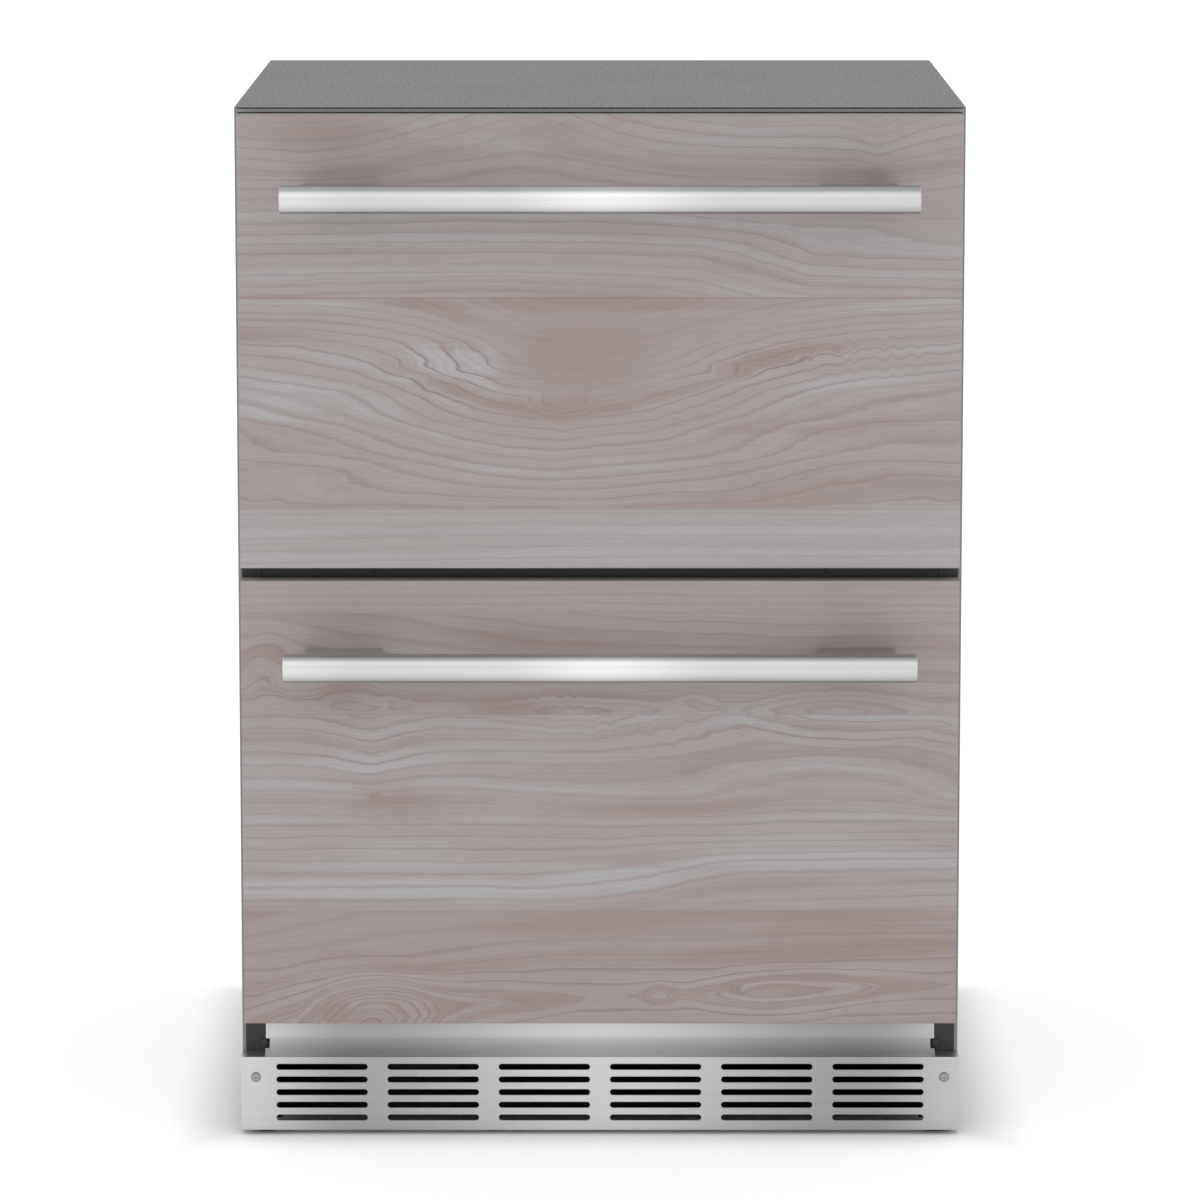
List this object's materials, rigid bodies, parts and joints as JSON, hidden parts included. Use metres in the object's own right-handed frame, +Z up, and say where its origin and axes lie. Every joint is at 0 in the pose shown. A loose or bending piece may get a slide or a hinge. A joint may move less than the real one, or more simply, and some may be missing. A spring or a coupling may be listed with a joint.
{
  "type": "undercounter drawer refrigerator",
  "caption": "Undercounter refrigerator with two stacked pull-out drawers, wood overlay fronts, bar handles, toe recess and slotted base grille.",
  "frame": {"origin": "on the floor, under the middle of the whole product with its handles", "axes": "+Z up, the drawers open towards -Y, +X to the right seen from the front"},
  "size_m": [0.6064, 0.664, 0.867],
  "materials": {
    "body_paint": "satin dark grey powder coat",
    "top_paint": "fine speckled grey powder coat",
    "zinc_sheet": "plain zinc-coated sheet",
    "black_paint": "satin black",
    "stainless": "horizontal brushing",
    "handle_steel": "fine satin brushing along the bar",
    "screw_steel": "plain",
    "foam": "closed-cell foam",
    "liner_plastic": "thermoformed, light sheen",
    "bin_plastic": "moulded, light sheen",
    "divider_plastic": "moulded, light sheen",
    "wood": "pale planked veneer with horizontal grain, satin",
    "rubber": "matte",
    "rail_steel": "bright zinc",
    "copper": "drawn copper",
    "fin_aluminium": "mill finish",
    "compressor_paint": "black enamel",
    "black_plastic": "matte moulding",
    "white_plastic": "matte moulding",
    "lamp": "diffusing lens"
  },
  "bodies": {
    "cabinet": {"left_side_panel": "body_paint", "right_side_panel": "body_paint", "top_panel": "top_paint", "back_panel": "zinc_sheet", "machine_cover": "zinc_sheet", "body_screws": "black_paint", "base_pan": "black_paint", "cabinet_floor": "zinc_sheet", "insulation_foam": "foam", "inner_liner": "liner_plastic", "left_frame_post": "black_paint", "right_frame_post": "black_paint", "top_rail": "black_paint", "center_mullion": "black_paint", "toe_cove": "stainless", "base_grille": "stainless", "grille_screws": "screw_steel", "compressor": "compressor_paint", "compressor_grommets": "rubber", "condenser_coil": "copper", "condenser_fan_shroud": "black_plastic", "drain_pan": "white_plastic", "filter_drier": "copper", "refrigerant_tubes": "copper", "power_module": "white_plastic", "power_inlet": "black_plastic", "evaporator_coil": "fin_aluminium", "evaporator_cover": "liner_plastic", "led_lamp": "lamp", "control_panel": "black_plastic", "temperature_sensor": "liner_plastic", "upper_cabinet_rails": "rail_steel", "lower_cabinet_rails": "rail_steel"},
    "condenser_fan": {"condenser_fan_blade": "black_plastic"},
    "evaporator_fan": {"evaporator_fan_blade": "black_plastic"},
    "upper_middle_slides": {"upper_middle_rails": "rail_steel"},
    "lower_middle_slides": {"lower_middle_rails": "rail_steel"},
    "upper_drawer": {"upper_drawer_rails": "rail_steel", "upper_drawer_door": "liner_plastic", "upper_gasket": "rubber", "upper_wood_panel": "wood", "upper_panel_screws": "screw_steel", "upper_handle_bar": "handle_steel", "upper_handle_posts": "handle_steel", "upper_bin": "bin_plastic"},
    "lower_drawer": {"lower_drawer_rails": "rail_steel", "lower_drawer_door": "liner_plastic", "lower_gasket": "rubber", "lower_wood_panel": "wood", "lower_panel_screws": "screw_steel", "lower_handle_bar": "handle_steel", "lower_handle_posts": "handle_steel", "lower_bin": "bin_plastic"},
    "upper_bin_divider": {"upper_divider": "divider_plastic"},
    "lower_bin_divider": {"lower_divider": "divider_plastic"},
    "front_left_foot": {"front_left_leg": "black_plastic"},
    "front_right_foot": {"front_right_leg": "black_plastic"},
    "rear_left_foot": {"rear_left_leg": "black_plastic"},
    "rear_right_foot": {"rear_right_leg": "black_plastic"}
  },
  "joints": [
    {"name": "upper_drawer_slide", "type": "slide", "parent": "cabinet", "child": "upper_drawer", "axis": [0, -1, 0], "range_m": [0, 0.43]},
    {"name": "lower_drawer_slide", "type": "slide", "parent": "cabinet", "child": "lower_drawer", "axis": [0, -1, 0], "range_m": [0, 0.43]},
    {"name": "upper_middle_rail_slide", "type": "slide", "parent": "cabinet", "child": "upper_middle_slides", "axis": [0, -1, 0], "range_m": [0, 0.215]},
    {"name": "lower_middle_rail_slide", "type": "slide", "parent": "cabinet", "child": "lower_middle_slides", "axis": [0, -1, 0], "range_m": [0, 0.215]},
    {"name": "upper_divider_slide", "type": "slide", "parent": "upper_drawer", "child": "upper_bin_divider", "axis": [0, 1, 0], "range_m": [-0.17, 0.17]},
    {"name": "lower_divider_slide", "type": "slide", "parent": "lower_drawer", "child": "lower_bin_divider", "axis": [0, 1, 0], "range_m": [-0.1, 0.1]},
    {"name": "condenser_fan_spin", "type": "hinge", "parent": "cabinet", "child": "condenser_fan", "pos_m": [0.0412, 0.2204, 0.1152], "axis": [1, 0, 0], "continuous": true},
    {"name": "evaporator_fan_spin", "type": "hinge", "parent": "cabinet", "child": "evaporator_fan", "pos_m": [0, 0.25, 0.752], "axis": [0, 1, 0], "continuous": true},
    {"name": "front_left_leg_screw", "type": "slide", "parent": "cabinet", "child": "front_left_foot", "axis": [0, 0, -1], "range_m": [0, 0.025]},
    {"name": "front_right_leg_screw", "type": "slide", "parent": "cabinet", "child": "front_right_foot", "axis": [0, 0, -1], "range_m": [0, 0.025]},
    {"name": "rear_left_leg_screw", "type": "slide", "parent": "cabinet", "child": "rear_left_foot", "axis": [0, 0, -1], "range_m": [0, 0.025]},
    {"name": "rear_right_leg_screw", "type": "slide", "parent": "cabinet", "child": "rear_right_foot", "axis": [0, 0, -1], "range_m": [0, 0.025]}
  ],
  "couplings": [
    {"joint": "upper_middle_rail_slide", "follows": "upper_drawer_slide", "ratio": 0.5},
    {"joint": "lower_middle_rail_slide", "follows": "lower_drawer_slide", "ratio": 0.5}
  ]
}
